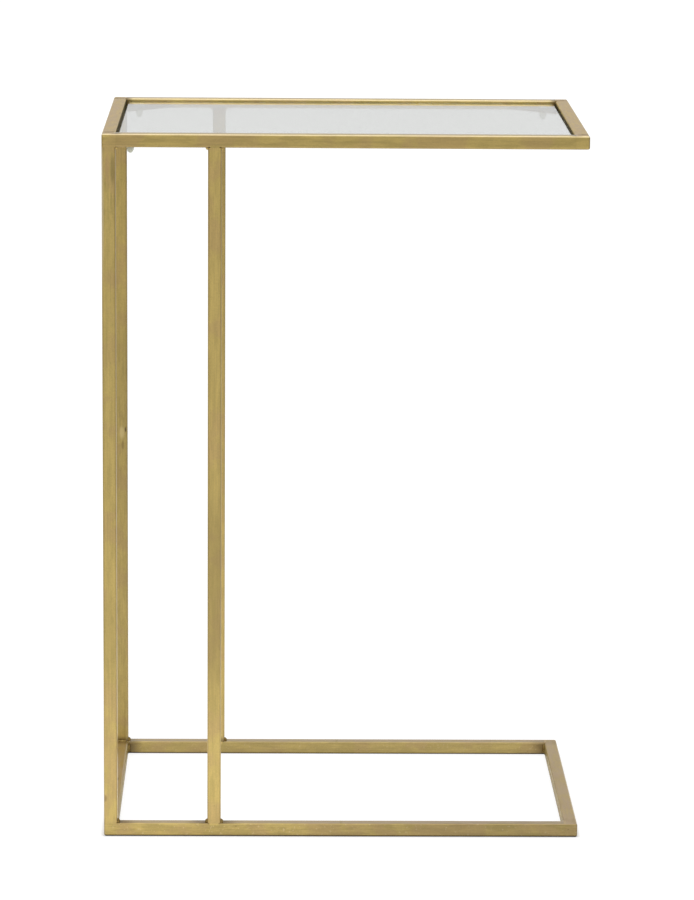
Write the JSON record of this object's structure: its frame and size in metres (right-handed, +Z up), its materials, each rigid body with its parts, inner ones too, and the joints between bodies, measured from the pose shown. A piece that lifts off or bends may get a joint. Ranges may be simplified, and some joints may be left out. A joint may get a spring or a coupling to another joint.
{
  "type": "c shaped side table",
  "caption": "C-shaped side table: welded square-tube frame in antique brass, open at one side to slide over a sofa, with a drop-in clear glass top.",
  "frame": {"origin": "on the floor under the middle of the table", "axes": "+X towards the open end of the C, +Y to the back, +Z up"},
  "size_m": [0.45, 0.31, 0.67],
  "materials": {
    "tube_brass": "satin antique brass, brushed along the tube, lightly mottled",
    "gusset_brass": "satin antique brass",
    "weld_brass": "dressed weld under the same brass finish, darker in the corners",
    "clear_glass": "clear float glass with ground edges",
    "clear_vinyl": "clear soft vinyl"
  },
  "bodies": {
    "frame": {"base_left_rail": "tube_brass", "base_right_rail": "tube_brass", "base_front_rail": "tube_brass", "base_back_rail": "tube_brass", "top_left_rail": "tube_brass", "top_right_rail": "tube_brass", "top_front_rail": "tube_brass", "top_back_rail": "tube_brass", "front_outer_leg": "tube_brass", "front_inner_leg": "tube_brass", "back_outer_leg": "tube_brass", "back_inner_leg": "tube_brass", "base_left_front_cap": "tube_brass", "base_left_back_cap": "tube_brass", "base_right_front_cap": "tube_brass", "base_right_back_cap": "tube_brass", "top_left_front_cap": "tube_brass", "top_left_back_cap": "tube_brass", "top_right_front_cap": "tube_brass", "top_right_back_cap": "tube_brass", "front_left_gusset": "gusset_brass", "front_right_gusset": "gusset_brass", "back_left_gusset": "gusset_brass", "back_right_gusset": "gusset_brass", "front_left_bumper": "clear_vinyl", "front_right_bumper": "clear_vinyl", "back_left_bumper": "clear_vinyl", "back_right_bumper": "clear_vinyl", "base_seam_welds": "weld_brass", "top_seam_welds": "weld_brass", "leg_seam_welds": "weld_brass", "leg_foot_beads": "weld_brass", "leg_head_beads": "weld_brass", "base_corner_beads": "weld_brass"},
    "glass": {"glass_top": "clear_glass"}
  },
  "joints": [
    {"name": "glass_lift", "type": "slide", "parent": "frame", "child": "glass", "axis": [0, 0, 1], "range_m": [0, 0.04]}
  ]
}
